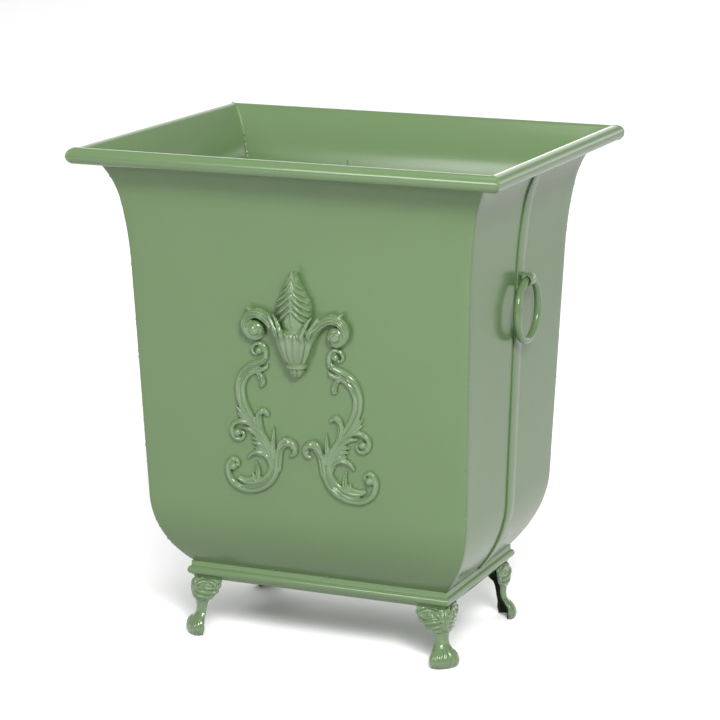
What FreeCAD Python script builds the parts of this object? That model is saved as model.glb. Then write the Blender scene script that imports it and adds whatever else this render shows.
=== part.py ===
"""Painted sheet metal planter with a rolled rim, applied scroll ornament, ring handles and claw feet.

Millimetres. +Z is up, the front faces -Y and the origin is on the floor under the middle of the body.
"""
import FreeCAD
import Part
import os
from math import cos, pi, radians, sin, sqrt, tan

from FreeCAD import Rotation, Vector

os.makedirs("parts", exist_ok=True)

# Body: sheet, half sizes at its lower edge and the arcs of its outer profile (angles from vertical)
sheet = 1.0
base_half_width = 124.8
base_half_depth = 81.0
belly_start_angle = 44.3
belly_radius = 101.5
belly_overrun = 8.0
side_lean = 1.85
front_lean = 3.6
flare_radius = 440.0
lip_start_angle = 10.0
lip_radius = 91.5
lip_end_angle = 42.2
corner_radius = 2.6

# Rolled rim
rim_centre_height = 450.0
rim_radius = 7.25
curl_end_angle = -165.0

# Base moulding bar and the plate inside it
foot_height = 54.0
moulding_height = 16.0
moulding_thickness = 10.4
moulding_ledge = 0.4
moulding_nose = 3.4
moulding_return = 1.6
moulding_fillet_height = 4.0
moulding_cove = 0.9
moulding_bead_height = 7.4
moulding_hollow = 0.8
plate_thickness = 1.2

# Side straps and ring handles
strap_thickness = 1.6
strap_width = 18.0
strap_foot_gap = 1.0
strap_top_drop = 14.0
ring_outer_diameter = 61.0
ring_wire = 6.6
ring_pivot_height = 340.0
ring_stand_off = 6.4
ring_clearance = 0.35
saddle_width = 12.0
saddle_sheet = 1.3

# Feet: cast shells with lugs, and the bolts that hold them
foot_wall = 3.2
foot_inset = 0.8
foot_top_gap = 0.8
lug_thickness = 4.0
bolt_setback = 20.0
lug_tail = 7.0
lug_tail_width = 11.0
bolt_diameter = 5.0
bolt_hole_clearance = 0.25
bolt_head_width = 8.0
bolt_head_height = 3.5
nut_height = 4.0
nut_clearance = 0.1
bolt_stick_out = 1.2

# Applied ornament: relief and flat top of a limb as shares of its width, and the height it is laid out from
limb_relief = 0.62
limb_top = 0.42
limb_root = 2.0
ornament_middle = 250.0

along_x = Vector(1, 0, 0)
along_y = Vector(0, 1, 0)
along_z = Vector(0, 0, 1)
reach = 2 * (rim_centre_height + base_half_width)
moulding_top = foot_height + moulding_height


def at(out, u, z):
    """Point u away from the middle in the direction out, at height z."""
    return out * u + along_z * z


def arc_edge(first, middle, last):
    return Part.Arc(first, middle, last).toShape()


def line_edge(first, last):
    return Part.LineSegment(first, last).toShape()


def face_of(edges):
    return Part.Face(Part.Wire(Part.sortEdges(edges)[0]))


def long_bar(face, along):
    """Section drawn at the middle, extruded far both ways."""
    start = face.copy()
    start.translate(along * -reach)
    return start.extrude(along * (2 * reach))


class Profile:
    """Outer line of one pair of walls: belly arc, straight lean, flare arc and lip arc."""

    def __init__(self, out, base_half, lean):
        self.out = out
        self.along = along_x if out.y else along_y
        self.base_half = base_half
        self.lean = radians(lean)
        self.start = radians(belly_start_angle)
        self.turn = radians(lip_start_angle)
        self.end = radians(lip_end_angle)
        self.belly_u = base_half - belly_radius * cos(self.start)
        self.belly_z = moulding_top + belly_radius * sin(self.start)
        end_z = rim_centre_height + (rim_radius - sheet) * sin(self.end)
        self.lip_z = end_z - lip_radius * sin(self.end)
        turn_z = self.lip_z + lip_radius * sin(self.turn)
        self.flare_z = turn_z - flare_radius * sin(self.turn)
        lean_end_z = self.flare_z + flare_radius * sin(self.lean)
        self.flare_u = self.wall_u(lean_end_z) + flare_radius * cos(self.lean)
        turn_u = self.flare_u - flare_radius * cos(self.turn)
        self.lip_u = turn_u + lip_radius * cos(self.turn)
        self.rim_u = self.on_lip(self.end, 0)[0] + (rim_radius - sheet) * cos(self.end)

    def on_belly(self, angle, inset):
        radius = belly_radius - inset
        return (self.belly_u + radius * cos(angle), self.belly_z - radius * sin(angle))

    def on_flare(self, angle, inset):
        radius = flare_radius + inset
        return (self.flare_u - radius * cos(angle), self.flare_z + radius * sin(angle))

    def on_lip(self, angle, inset):
        radius = lip_radius + inset
        return (self.lip_u - radius * cos(angle), self.lip_z + radius * sin(angle))

    def wall_u(self, z, inset=0.0):
        """Half size of the straight, leaning part of the wall at one height."""
        start_u, start_z = self.on_belly(self.lean, inset)
        return start_u + (z - start_z) * tan(self.lean)

    def edges(self, inset, out):
        """Wall line from below the moulding's top to above the lip, inset from the outer face."""
        low = self.start + radians(belly_overrun)
        belly = [self.on_belly(a, inset) for a in (low, (low + self.lean) / 2, self.lean)]
        flare = [self.on_flare(a, inset) for a in (self.lean, (self.lean + self.turn) / 2, self.turn)]
        lip = [self.on_lip(a, inset) for a in (self.turn, (self.turn + self.end) / 2, self.end)]
        over = (lip[2][0] + rim_radius * sin(self.end), lip[2][1] + rim_radius * cos(self.end))
        return [
            arc_edge(*(at(out, *p) for p in belly)),
            line_edge(at(out, *belly[2]), at(out, *flare[0])),
            arc_edge(*(at(out, *p) for p in flare)),
            arc_edge(*(at(out, *p) for p in lip)),
            line_edge(at(out, *lip[2]), at(out, *over)),
        ]

    def block(self, inset):
        """Solid between the two opposite walls."""
        near = self.edges(inset, self.out)
        far = self.edges(inset, -self.out)
        low = line_edge(far[0].Vertexes[0].Point, near[0].Vertexes[0].Point)
        high = line_edge(near[-1].Vertexes[-1].Point, far[-1].Vertexes[-1].Point)
        return long_bar(face_of([low, high] + near + far), self.along)

    def below_lip(self):
        """Space above the moulding and below the square-cut upper edge of the wall."""
        inner = self.on_lip(self.end, sheet)
        fall = 3 * rim_radius
        outer = (inner[0] + fall * cos(self.end), inner[1] - fall * sin(self.end))
        points = [(outer[0], moulding_top), outer, inner]
        loop = [at(self.out, *p) for p in points] + [at(-self.out, *p) for p in reversed(points)]
        return long_bar(Part.Face(Part.makePolygon(loop + loop[:1])), self.along)


side_profile = Profile(along_x, base_half_width, side_lean)
front_profile = Profile(-along_y, base_half_depth, front_lean)
sides = {"front": -along_y, "rear": along_y, "left": -along_x, "right": along_x}


def profile_of(side):
    return front_profile if side in ("front", "rear") else side_profile


def body_block(inset):
    return side_profile.block(inset).common(front_profile.block(inset))


def corner_edges(block):
    return [e for e in block.Edges if e.BoundBox.ZLength > sheet / 2]


def body_panels():
    """Four walls with rounded corners, parted along the corner lines."""
    outer = body_block(0)
    inner = body_block(sheet)
    corners = corner_edges(outer)
    shell = outer.makeFillet(corner_radius, corners)
    shell = shell.cut(inner.makeFillet(corner_radius - sheet, corner_edges(inner)))
    shell = shell.common(side_profile.below_lip()).common(front_profile.below_lip())
    cuts = []
    for edge in corners:
        middle = edge.BoundBox.Center
        outward = Vector(1 if middle.x > 0 else -1, 1 if middle.y > 0 else -1, 0) * (3 * corner_radius)
        start = edge.copy()
        start.translate(-outward)
        cuts.append(start.extrude(outward * 2))
    pieces, _ = shell.generalFuse(cuts)
    panels = {}
    for side, out in sides.items():
        panels[side] = max(pieces.Solids, key=lambda solid: solid.CenterOfMass.dot(out))
    return panels


def mitre(side, half_width, half_depth):
    """Space between the two 45 degree mitre planes at the ends of one side of a frame."""
    out = sides[side]
    half, half_along = (half_depth, half_width) if out.y else (half_width, half_depth)
    along = profile_of(side).along
    step = half / 2
    points = []
    for shift, sign in ((-step, -1), (-step, 1), (step, 1), (step, -1)):
        points.append(out * (half + shift) + along * (sign * (half_along + shift)))
    face = Part.Face(Part.makePolygon(points + points[:1]))
    return face.extrude(along_z * (2 * rim_centre_height))


def rim_rail(side):
    """Wall edge rolled outwards into an open bead, from the lip round to just short of the wall."""
    profile = profile_of(side)
    out = sides[side]
    first = 180.0 - lip_end_angle
    angles = [radians(a) for a in (first, (first + curl_end_angle) / 2, curl_end_angle)]
    arcs = []
    for radius in (rim_radius, rim_radius - sheet):
        arcs.append([at(out, profile.rim_u + radius * cos(a), rim_centre_height + radius * sin(a))
                     for a in angles])
    ends = [line_edge(arcs[0][i], arcs[1][i]) for i in (0, 2)]
    section = face_of([arc_edge(*arcs[0]), arc_edge(*arcs[1])] + ends)
    return long_bar(section, profile.along).common(mitre(side, side_profile.rim_u, front_profile.rim_u))


def base_moulding(side):
    """Solid bar with a flat fillet, a small cove, a round nose and a hollowed return below."""
    profile = profile_of(side)
    base = profile.base_half
    fillet_u = base + moulding_ledge
    inner_u = fillet_u - moulding_thickness
    fillet_z = moulding_top - moulding_fillet_height
    bead_top = (fillet_u + moulding_cove, fillet_z - moulding_cove)
    bead_low = (bead_top[0], bead_top[1] - moulding_bead_height)
    nose = (base + moulding_nose, (bead_top[1] + bead_low[1]) / 2)
    toe = (base - moulding_return, foot_height)
    cove_turn = moulding_cove / sqrt(2)
    cove_middle = (bead_top[0] - cove_turn, fillet_z - cove_turn)
    hollow = ((bead_low[0] + toe[0] - moulding_hollow) / 2, (bead_low[1] + toe[1] + moulding_hollow) / 2)
    out = sides[side]
    corner = [at(out, *p) for p in ((inner_u, foot_height), (inner_u, moulding_top),
                                    (fillet_u, moulding_top), (fillet_u, fillet_z))]
    cove, bead_top, nose, bead_low, hollow, toe = (
        at(out, *p) for p in (cove_middle, bead_top, nose, bead_low, hollow, toe))
    section = face_of([
        line_edge(corner[0], corner[1]), line_edge(corner[1], corner[2]), line_edge(corner[2], corner[3]),
        arc_edge(corner[3], cove, bead_top), arc_edge(bead_top, nose, bead_low),
        arc_edge(bead_low, hollow, toe), line_edge(toe, corner[0])])
    return long_bar(section, profile.along).common(mitre(side, base_half_width, base_half_depth))


def foot_corners():
    """Name, signs and the outer corner under which each foot stands."""
    inset = moulding_return + foot_inset
    for end, y in (("front", -1), ("rear", 1)):
        for side, x in (("left", -1), ("right", 1)):
            corner = Vector(x * (base_half_width - inset), y * (base_half_depth - inset), 0)
            yield end + "_" + side, corner, Vector(x, y, 0)


def bolt_places():
    for _, corner, signs in foot_corners():
        yield corner - signs * (bolt_setback / sqrt(2))


def bottom_plate():
    inner_x = base_half_width + moulding_ledge - moulding_thickness
    inner_y = base_half_depth + moulding_ledge - moulding_thickness
    plate = Part.makeBox(2 * inner_x, 2 * inner_y, plate_thickness, Vector(-inner_x, -inner_y, foot_height))
    for place in bolt_places():
        plate = plate.cut(Part.makeCylinder(bolt_diameter / 2 + bolt_hole_clearance, reach, place))
    return plate


def side_strap(side):
    """Flat strap down the middle of a side wall, following its curve."""
    out = sides[side]
    inner = side_profile.edges(0, out)
    outer = side_profile.edges(-strap_thickness, out)
    ends = [line_edge(inner[0].Vertexes[0].Point, outer[0].Vertexes[0].Point),
            line_edge(inner[-1].Vertexes[-1].Point, outer[-1].Vertexes[-1].Point)]
    face = face_of(inner + outer + ends)
    face.translate(along_y * (-strap_width / 2))
    low = moulding_top + strap_foot_gap
    high = rim_centre_height - strap_top_drop
    band = Part.makeBox(2 * reach, strap_width, high - low, Vector(-reach, -strap_width / 2, low))
    return face.extrude(along_y * strap_width).common(band)


ring_radius = (ring_outer_diameter - ring_wire) / 2
ring_pivot_u = (side_profile.wall_u(ring_pivot_height) + strap_thickness / cos(side_profile.lean)
                + ring_stand_off)


def ring(side):
    middle = at(sides[side], ring_pivot_u, ring_pivot_height - ring_radius)
    return Part.makeTorus(ring_radius, ring_wire / 2, middle, along_x)


def ring_saddle(side, strap):
    """Strip bent round the top of the ring, its two legs standing on the strap."""
    out = sides[side]
    hollow = ring_radius - sqrt((ring_radius - ring_wire / 2) ** 2 - (saddle_width / 2) ** 2) + ring_clearance
    outer = hollow + saddle_sheet
    root_u = ring_pivot_u - 2 * ring_stand_off
    arcs = []
    for radius in (hollow, outer):
        arcs.append([at(out, ring_pivot_u, ring_pivot_height + radius),
                     at(out, ring_pivot_u + radius, ring_pivot_height),
                     at(out, ring_pivot_u, ring_pivot_height - radius)])
    edges = [arc_edge(*arcs[0]), arc_edge(*arcs[1])]
    for i, sign in ((0, 1), (2, -1)):
        roots = [at(out, root_u, ring_pivot_height + sign * radius) for radius in (hollow, outer)]
        edges += [line_edge(arcs[0][i], roots[0]), line_edge(arcs[1][i], roots[1]), line_edge(*roots)]
    face = face_of(edges)
    face.translate(along_y * (-saddle_width / 2))
    return face.extrude(along_y * saddle_width).cut(strap).cut(side_profile.block(0))


# Foot sections from the knee down to the paw: share of the foot's height, how far the apex stands out, and
# the (outward, sideways) places of the middle and the end of a wing
foot_sections = [
    (1.00, 1.5, (-7.0, 10.6), (-17.0, 20.3)),
    (0.87, 4.0, (-3.5, 11.0), (-16.0, 19.8)),
    (0.74, 3.4, (-2.6, 9.6), (-14.5, 16.8)),
    (0.66, 2.4, (-2.2, 8.2), (-11.5, 13.0)),
    (0.58, 1.0, (-2.0, 6.4), (-8.2, 8.8)),
    (0.44, 0.4, (-2.2, 6.0), (-7.4, 7.4)),
    (0.36, 1.4, (-1.6, 6.6), (-7.0, 7.6)),
    (0.27, 5.4, (2.2, 9.6), (-6.4, 9.2)),
    (0.17, 8.8, (4.6, 12.4), (-5.4, 10.8)),
    (0.06, 8.4, (4.2, 12.0), (-5.0, 10.4)),
    (0.00, 6.8, (3.0, 10.8), (-4.8, 9.4)),
]


def on_diagonal(places, height):
    """Points of a line drawn in (outward, sideways), mirrored about the diagonal of the corner."""
    line = places + [(d, -w) for d, w in reversed(places) if w]
    return [Vector((d + w) / sqrt(2), (w - d) / sqrt(2), height) for d, w in line]


def within_wall(depth, apex, *wing):
    """Apex and wing places moved a depth into the foot's wall."""
    slant = depth / sqrt(2)
    return [(apex - depth, 0)] + [(d - slant, w - slant) for d, w in wing]


def foot_section(share, apex, middle, end):
    """Closed band round the outside of the foot, open towards the middle of the planter."""
    lines = []
    for depth in (0, foot_wall):
        places = within_wall(depth, apex, middle, end)
        lines.append(on_diagonal(places[::-1], share * (foot_height - foot_top_gap)))
    curves = []
    for line in lines:
        curve = Part.BSplineCurve()
        curve.interpolate(line)
        curves.append(curve.toShape())
    ends = [line_edge(lines[0][i], lines[1][i]) for i in (0, -1)]
    return Part.Wire([curves[0], ends[1], curves[1], ends[0]])


def front_right_foot():
    """Shell with a lug that bites half way into its wall and carries the bolt."""
    shell = Part.makeLoft([foot_section(*s) for s in foot_sections], True, False)
    _, apex, middle, end = foot_sections[0]
    shoulder = ((middle[0] + end[0]) / 2, (middle[1] + end[1]) / 2)
    tail = (-bolt_setback - lug_tail, lug_tail_width / 2)
    outline = [tail] + within_wall(foot_wall / 2, apex, middle, shoulder)[::-1]
    points = on_diagonal(outline, foot_height - lug_thickness)
    lug = Part.Face(Part.makePolygon(points + points[:1])).extrude(along_z * lug_thickness)
    hole_place = Vector(-bolt_setback / sqrt(2), bolt_setback / sqrt(2), 0)
    hole = Part.makeCylinder(bolt_diameter / 2 + bolt_hole_clearance, reach, hole_place)
    return shell.fuse(lug).cut(hole)


def feet():
    model = front_right_foot()
    for name, corner, signs in foot_corners():
        foot = model.copy()
        if signs.x < 0:
            foot = foot.mirror(Vector(0, 0, 0), along_x)
        if signs.y > 0:
            foot = foot.mirror(Vector(0, 0, 0), along_y)
        foot.translate(corner)
        yield name, foot


def hexagon(width, height, place):
    radius = width / sqrt(3)
    angles = [radians(60 * i) for i in range(7)]
    points = [place + Vector(radius * cos(a), radius * sin(a), 0) for a in angles]
    return Part.Face(Part.makePolygon(points)).extrude(along_z * height)


def foot_bolts():
    lug_low = foot_height - lug_thickness
    shank_length = lug_thickness + plate_thickness + nut_height + bolt_stick_out
    bolts = []
    for place in bolt_places():
        seat = place + along_z * lug_low
        head = hexagon(bolt_head_width, bolt_head_height, seat - along_z * bolt_head_height)
        bolts.append(head.fuse(Part.makeCylinder(bolt_diameter / 2, shank_length, seat)))
    return Part.makeCompound(bolts)


def foot_nuts():
    nuts = []
    for place in bolt_places():
        seat = place + along_z * (foot_height + plate_thickness)
        bore = Part.makeCylinder(bolt_diameter / 2 + nut_clearance, nut_height, seat)
        nuts.append(hexagon(bolt_head_width, nut_height, seat).cut(bore))
    return Part.makeCompound(nuts)


def stroke(points, widths):
    """Tapering limb with sloping sides along a smooth line on the wall, drawn in (x, z)."""
    path = Part.BSplineCurve()
    path.interpolate([Vector(x, 0, z) for x, z in points])
    sections = []
    for (x, z), width in zip(points, widths):
        place = Vector(x, 0, z)
        across = Vector(*path.tangent(path.parameter(place))[0]).cross(along_y)
        top = place - along_y * (limb_relief * width)
        root = place + along_y * limb_root
        spread = width / 2 + (1 - limb_top) * limb_root / (2 * limb_relief)
        corners = [root - across * spread, top - across * (limb_top * width / 2),
                   top + across * (limb_top * width / 2), root + across * spread]
        sections.append(Part.makePolygon(corners + corners[:1]))
    return Part.makeLoft(sections, True, False)


def ball(x, z, radius):
    return Part.makeSphere(radius, Vector(x, -radius / 3, z), along_y)


def on_front_wall(solids):
    """Fuse the limbs, lay them on the leaning front wall and cut their backs to fit it."""
    whole = solids[0].multiFuse(solids[1:])
    whole.rotate(along_z * ornament_middle, along_x, front_lean)
    whole.translate(along_y * -front_profile.wall_u(ornament_middle))
    return whole.cut(front_profile.block(0))


def scroll_limbs():
    """Right-hand acanthus scroll: S stem, lower C with its volute, side volute, sprigs and leaves."""
    stem = stroke([(37.5, 281.5), (41, 281), (42, 285.5), (37.5, 290), (30.5, 287.5), (28, 281), (30, 275),
                   (36, 271), (44, 267.5), (51.5, 262), (56.5, 254), (57.8, 245), (55.8, 234), (51, 224),
                   (45, 215.5), (39, 208)],
                  [2, 2.6, 3.8, 5, 6, 6.4, 6.6, 6.8, 7.2, 7.6, 7.8, 7.6, 7, 6.2, 5.4, 4.6])
    lip_leaf = stroke([(25.5, 271), (28, 266.8), (34, 264.5), (42, 264), (50, 261)],
                      [1.8, 4.4, 5.2, 4.8, 3.6])
    drop_leaf = stroke([(40, 264), (36.5, 257), (34.2, 250)], [5, 8, 3])
    rib = stroke([(40, 262), (47, 258), (51.5, 250), (52.3, 241), (49.5, 231), (44, 221), (40, 214)],
                 [3.6, 4.4, 5, 5, 4.6, 4.2, 3.6])
    left_sprig = stroke([(33, 202), (36.5, 212), (38.3, 220.5), (36.8, 227), (32.5, 228), (29.8, 224.5)],
                        [4.2, 5.8, 6.4, 6.6, 5.8, 3])
    right_sprig = stroke([(45, 213), (52, 218.5), (57, 224), (60.5, 230)], [3.8, 5.6, 5.2, 1.6])
    side_volute = stroke([(25, 176), (27.5, 189), (32, 200), (38.5, 208), (47, 213.2), (56, 215.8),
                          (63.5, 213.5), (66.3, 206.5), (63, 200.3), (57, 199.8), (54.8, 204), (58, 206)],
                         [4.8, 5.6, 6.2, 6.4, 6, 5.8, 5.6, 5.2, 4.6, 3.8, 2.8, 2])
    side_rib = stroke([(29, 184), (34, 196), (40.5, 203), (48, 208), (54.5, 210)], [3.6, 5.4, 6, 4.8, 2])
    upright_leaf = stroke([(25.5, 188), (25.4, 201), (25.3, 213.5)], [5, 6.4, 1.8])
    hook_leaf = stroke([(21.5, 174), (20.5, 186), (17, 196), (11, 200.4), (5.6, 197), (5, 190.5),
                        (9.5, 187.8)],
                       [6, 7, 8.4, 9.6, 8.4, 6, 3])
    lower_c = stroke([(23, 190), (22, 179), (24.5, 168.5), (31, 160), (41, 154.3), (52, 152.3), (62, 154),
                      (69.5, 160), (72.3, 169), (70.3, 177), (64.5, 180), (59.8, 176), (63, 173)],
                     [6, 7.2, 7.8, 7.8, 7.4, 7, 6.4, 6, 5.8, 5.4, 4.8, 3.4, 2.2])
    inner_c = stroke([(27.5, 188), (28, 177), (32, 168), (39, 161.8), (49, 158.4), (58, 159), (65, 163.5)],
                     [3.6, 4.6, 5.4, 5.4, 5, 4.4, 2])
    crescent = stroke([(29, 176), (32.3, 184.5), (38.5, 188.4), (45, 187.4), (50.5, 182.4)],
                      [3.2, 5.6, 6.8, 6.4, 1.8])
    inner_leaf = stroke([(43.2, 181), (41.4, 174), (42.3, 166.5), (46, 159)], [1.8, 6, 7.6, 5])
    lobe = stroke([(34, 194), (40, 197.5), (46, 201.5)], [4.4, 6.8, 3])
    return [stem, lip_leaf, drop_leaf, rib, left_sprig, right_sprig, side_volute, side_rib, upright_leaf,
            hook_leaf, lower_c, inner_c, crescent, inner_leaf, lobe]


def scroll_ornament(sign):
    """Scroll with a ball in the eye of each volute, on the right for 1 and mirrored to the left for -1."""
    limbs = scroll_limbs()
    if sign < 0:
        limbs = [limb.mirror(Vector(0, 0, 0), along_x) for limb in limbs]
    places = ((36, 283, 3.6), (59.8, 206.8, 3.8), (65.4, 172.6, 4))
    return on_front_wall(limbs + [ball(sign * x, z, radius) for x, z, radius in places])


def bud(sections):
    """Upright rounded form, lofted through (height, half width, half depth) ellipses."""
    rings = []
    for z, half_width, half_depth in sections:
        ellipse = Part.Ellipse(Vector(0, 0, z), half_width, half_depth)
        rings.append(Part.Wire(Part.ArcOfEllipse(ellipse, pi / 2, 5 * pi / 2).toShape()))
    return Part.makeLoft(rings, True, False)


def crest():
    """Leaf finial in a cup whose rim runs out into two volutes, over a collar and a drop."""
    leaf = bud([(304, 8.5, 5), (312, 13, 8), (321, 16.2, 9.6), (329, 16.4, 10), (337, 12.6, 9),
                (345, 8.4, 7), (351, 6.4, 5.4), (356, 4.4, 3.8), (360, 1.4, 1.2)])
    cup = bud([(275, 9, 6.5), (283, 11.5, 9), (291, 14, 10.8), (299, 16.5, 12), (306, 19, 12.6),
               (316, 23, 12)])
    notch = Vector(0, -reach, 302.5)
    slope = along_x + along_z
    high = notch + slope * reach
    wedge = Part.makePolygon([notch, high, high - along_x * (2 * reach), notch])
    cup = cup.cut(Part.Face(wedge).extrude(along_y * (2 * reach)))
    collar = bud([(270.5, 8.4, 6), (272, 10, 7.6), (274, 10, 7.6), (275.5, 8.6, 6.2)])
    drop = bud([(271, 7.6, 5.4), (267, 6, 4.4), (263.5, 3.2, 2.4), (262, 1.2, 1)])
    arm = stroke([(5, 288), (10.5, 300), (18, 310.5), (27, 317), (36.5, 318.3), (44.5, 314), (47.8, 306),
                  (45, 298), (38.5, 294.3), (32.5, 296.5), (31, 302), (35, 303.5)],
                 [9, 11, 12, 11.6, 10.6, 9.6, 8.6, 7.8, 7, 6, 4.8, 3.4])
    spike = stroke([(37, 316), (43, 320.5), (45.5, 325.5)], [6, 4.6, 1.2])
    eye = ball(38, 302.5, 5)
    pair = [solid.mirror(Vector(0, 0, 0), along_x) for solid in (arm, spike, eye)]
    return [leaf, cup, collar, drop, arm, spike, eye] + pair


if __name__ == "__main__":
    nodes = {}
    for side, panel in body_panels().items():
        nodes[side + ("_side_panel" if side in ("left", "right") else "_panel")] = panel
    for side in sides:
        nodes[side + "_rim_rail"] = rim_rail(side)
        nodes[side + "_base_moulding"] = base_moulding(side)
    nodes["bottom_plate"] = bottom_plate()
    for side in ("left", "right"):
        strap = side_strap(side)
        nodes[side + "_side_strap"] = strap
        nodes[side + "_ring"] = ring(side)
        nodes[side + "_ring_saddle"] = ring_saddle(side, strap)
    for name, foot in feet():
        nodes[name + "_foot"] = foot
    nodes["foot_bolts"] = foot_bolts()
    nodes["foot_nuts"] = foot_nuts()
    nodes["crest_ornament"] = on_front_wall(crest())
    nodes["right_scroll_ornament"] = scroll_ornament(1)
    nodes["left_scroll_ornament"] = scroll_ornament(-1)
    for name, shape in nodes.items():
        print(name, "solids", len(shape.Solids), "valid", shape.isValid(), "mm3", round(shape.Volume))
        shape.exportStep("parts/" + name + ".step")
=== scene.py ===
import random
from math import asin, atan2, cos, pi, radians, sin, sqrt, tan

import bmesh
import bpy
from mathutils import Matrix, Vector, kdtree, noise


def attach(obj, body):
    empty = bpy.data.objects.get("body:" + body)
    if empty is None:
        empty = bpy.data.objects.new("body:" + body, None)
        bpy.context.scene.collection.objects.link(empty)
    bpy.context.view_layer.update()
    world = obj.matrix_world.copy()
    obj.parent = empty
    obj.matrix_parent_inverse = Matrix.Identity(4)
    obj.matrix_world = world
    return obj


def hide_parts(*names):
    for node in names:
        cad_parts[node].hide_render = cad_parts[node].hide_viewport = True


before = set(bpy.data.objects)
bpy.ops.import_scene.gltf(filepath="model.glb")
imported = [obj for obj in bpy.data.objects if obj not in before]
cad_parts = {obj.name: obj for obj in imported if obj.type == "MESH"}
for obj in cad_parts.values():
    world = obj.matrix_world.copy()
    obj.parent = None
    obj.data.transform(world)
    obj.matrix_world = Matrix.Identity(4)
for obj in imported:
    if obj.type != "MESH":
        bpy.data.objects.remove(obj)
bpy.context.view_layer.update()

mm = 0.001

# Sheet walls: thickness, half sizes at the lower edge, and the arcs of the outer face (angles from vertical)
sheet = 1.0 * mm
base_half_width = 124.8 * mm
base_half_depth = 81.0 * mm
belly_start = radians(44.3)
belly_radius = 101.5 * mm
side_lean = radians(1.85)
front_lean = radians(3.6)
flare_radius = 440.0 * mm
lip_start = radians(10.0)
lip_radius = 91.5 * mm
lip_end = radians(42.2)
corner_radius = 2.6 * mm
sheet_wave = 0.35 * mm
sheet_wave_length = 110.0 * mm
sheet_wave_margin = 45.0 * mm

# Rolled rim
rim_height = 450.0 * mm
rim_radius = 7.25 * mm
curl_start = pi - lip_end
curl_end = radians(-165.0)

# Moulding bars under the walls
foot_height = 54.0 * mm
moulding_height = 16.0 * mm
moulding_thickness = 10.4 * mm
moulding_ledge = 0.4 * mm
moulding_nose = 3.4 * mm
moulding_return = 1.6 * mm
moulding_fillet = 4.0 * mm
moulding_cove = 0.9 * mm
moulding_bead = 7.4 * mm
moulding_hollow = 0.8 * mm
moulding_arris = 0.3 * mm
moulding_top = foot_height + moulding_height
plate_thickness = 1.2 * mm

# Side straps, ring handles and their saddles
strap_thickness = 1.6 * mm
strap_width = 18.0 * mm
strap_arris = 0.45 * mm
strap_low = moulding_top + 1.0 * mm
strap_high = rim_height - 14.0 * mm
ring_wire = 6.6 * mm
ring_radius = (61.0 * mm - ring_wire) / 2
ring_pivot_height = 340.0 * mm
ring_stand_off = 6.4 * mm
ring_clearance = 0.35 * mm
saddle_width = 12.0 * mm
saddle_sheet = 1.3 * mm
saddle_arris = 0.4 * mm

# Feet and their bolts; a foot's hollow_middle is measured outwards from the corner it stands under
foot_wall = 2.6 * mm
foot_inset = 0.8 * mm
foot_top = foot_height - 0.1 * mm
hollow_middle = -9.0 * mm
lug_thickness = 4.0 * mm
lug_width = 11.0 * mm
lug_margin = 7.0 * mm
bolt_setback = 20.0 * mm
bolt_diameter = 5.0 * mm
bolt_head_width = 8.0 * mm
bolt_head_height = 3.5 * mm
nut_height = 4.0 * mm
bolt_stick_out = 1.2 * mm
thread_pitch = 0.8 * mm
thread_depth = 0.3 * mm
shank_taper = 0.2 * mm
hexagon_chamfer = 0.5 * mm

# Castings, with the grain at which they are fused and the sharpest turn that is shaded smooth, and the
# applied ornament among them: the height where the wall carries it, the least metal under a groove and,
# in mm as its points are, how far the middles of its limbs stand off the wall
casting_voxel = 0.45 * mm
casting_crease = radians(75)
ornament_middle = 250.0 * mm
groove_floor = 0.5 * mm
scroll_stand = 1.4
crest_stand = 4.0

# Weld metal: the stretch of inside corner that shows it and, in mm, where a short ridge inside the rear wall
# starts (x, z) and where the tacks lie along each moulding bar
weld_low = moulding_top + 14.0 * mm
weld_high = 436.0 * mm
rear_ridge = (-58.6, 406.5)
tack_welds = {"front": (-43, 11), "rear": (-45, 38), "left": (-30, 34), "right": (-32, 28)}

up = Vector((0, 0, 1))
side_turns = {side: Matrix.Rotation(quarters * pi / 2, 4, "Z")
              for side, quarters in (("right", 0), ("rear", 1), ("left", 2), ("front", -1))}


# Helpers for meshes

def verts_of(geometry):
    return [g for g in geometry if isinstance(g, bmesh.types.BMVert)]


def edges_of(geometry):
    return [g for g in geometry if isinstance(g, bmesh.types.BMEdge)]


def faces_of(geometry):
    return [g for g in geometry if isinstance(g, bmesh.types.BMFace)]


def roll(bm, tip, centre_x, centre_z, angle, steps):
    """Carries a vertex round an arc in the upright plane; a positive angle turns it from +Z towards +X."""
    made = bmesh.ops.spin(bm, geom=[tip], cent=(centre_x, tip.co.y, centre_z), axis=(0, 1, 0),
                          angle=angle, steps=steps)
    return verts_of(made["geom_last"])[0]


def run_to(bm, tip, x, z, steps=1):
    """Carries a vertex straight to a place in the upright plane."""
    start = tip.co.copy()
    goal = Vector((x, start.y, z))
    for step in range(steps):
        tip = bmesh.ops.extrude_vert_indiv(bm, verts=[tip])["verts"][0]
        tip.co = start.lerp(goal, (step + 1) / steps)
    return tip


def roll_through(bm, tip, middle, last, steps):
    """Carries a vertex round the arc through two more places, each given as (x, z)."""
    ax, az = tip.co.x, tip.co.z
    bx, bz = middle
    cx, cz = last
    twice = 2 * (ax * (bz - cz) + bx * (cz - az) + cx * (az - bz))
    a, b, c = ax * ax + az * az, bx * bx + bz * bz, cx * cx + cz * cz
    x = (a * (bz - cz) + b * (cz - az) + c * (az - bz)) / twice
    z = (a * (cx - bx) + b * (ax - cx) + c * (bx - ax)) / twice
    angle = atan2(az - z, ax - x) - atan2(cz - z, cx - x)
    angle = (angle + pi) % (2 * pi) - pi
    return roll(bm, tip, x, z, angle, steps)


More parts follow.
